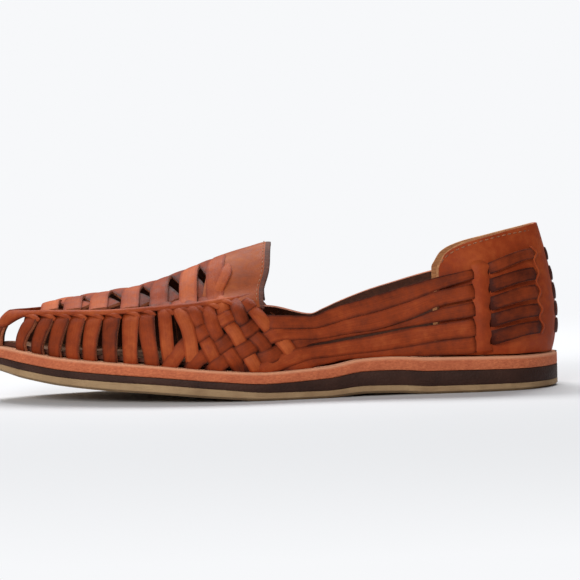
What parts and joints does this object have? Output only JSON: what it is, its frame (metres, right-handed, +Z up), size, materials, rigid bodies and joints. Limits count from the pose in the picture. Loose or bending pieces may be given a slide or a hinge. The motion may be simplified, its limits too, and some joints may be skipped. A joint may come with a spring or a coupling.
{
  "type": "huarache sandal",
  "caption": "Woven leather huarache for the left foot: open-toed strap upper, long side straps into a slotted heel counter, flat layered sole with toe spring",
  "frame": {"origin": "on the floor under the middle of the shoe's overall box", "axes": "+X towards the heel, -X towards the toe, -Y the outer (lateral) side, +Y the inner side, +Z up"},
  "size_m": [0.2629, 0.0922, 0.0746],
  "materials": {
    "outsole": "matt tan crepe rubber with a fine cut edge",
    "wedge": "matt dark brown rubber sheet, cut edge",
    "midsole_leather": "thick vegetable-tanned leather, raw fibrous edge, paler rim",
    "insole_leather": "natural leather sock, matt and lightly worn",
    "strap_leather": "smooth pull-up leather, semi-gloss, slight colour change from strap to strap",
    "panel_leather": "smooth leather, semi-gloss, stitched edges with a raw golden cut"
  },
  "bodies": {
    "root": {"outsole": "outsole", "midsole_wedge": "wedge", "leather_midsole": "midsole_leather", "insole": "insole_leather", "woven_upper": "strap_leather", "throat_panel": "panel_leather", "heel_counter": "panel_leather", "counter_strap_lateral_1": "strap_leather", "counter_strap_medial_1": "strap_leather", "heel_loop_1": "strap_leather", "counter_strap_lateral_2": "strap_leather", "counter_strap_medial_2": "strap_leather", "heel_loop_2": "strap_leather", "counter_strap_lateral_3": "strap_leather", "counter_strap_medial_3": "strap_leather", "heel_loop_3": "strap_leather", "counter_strap_lateral_4": "strap_leather", "counter_strap_medial_4": "strap_leather", "heel_loop_4": "strap_leather", "counter_strap_lateral_5": "strap_leather", "counter_strap_medial_5": "strap_leather", "heel_loop_5": "strap_leather"}
  },
  "joints": []
}
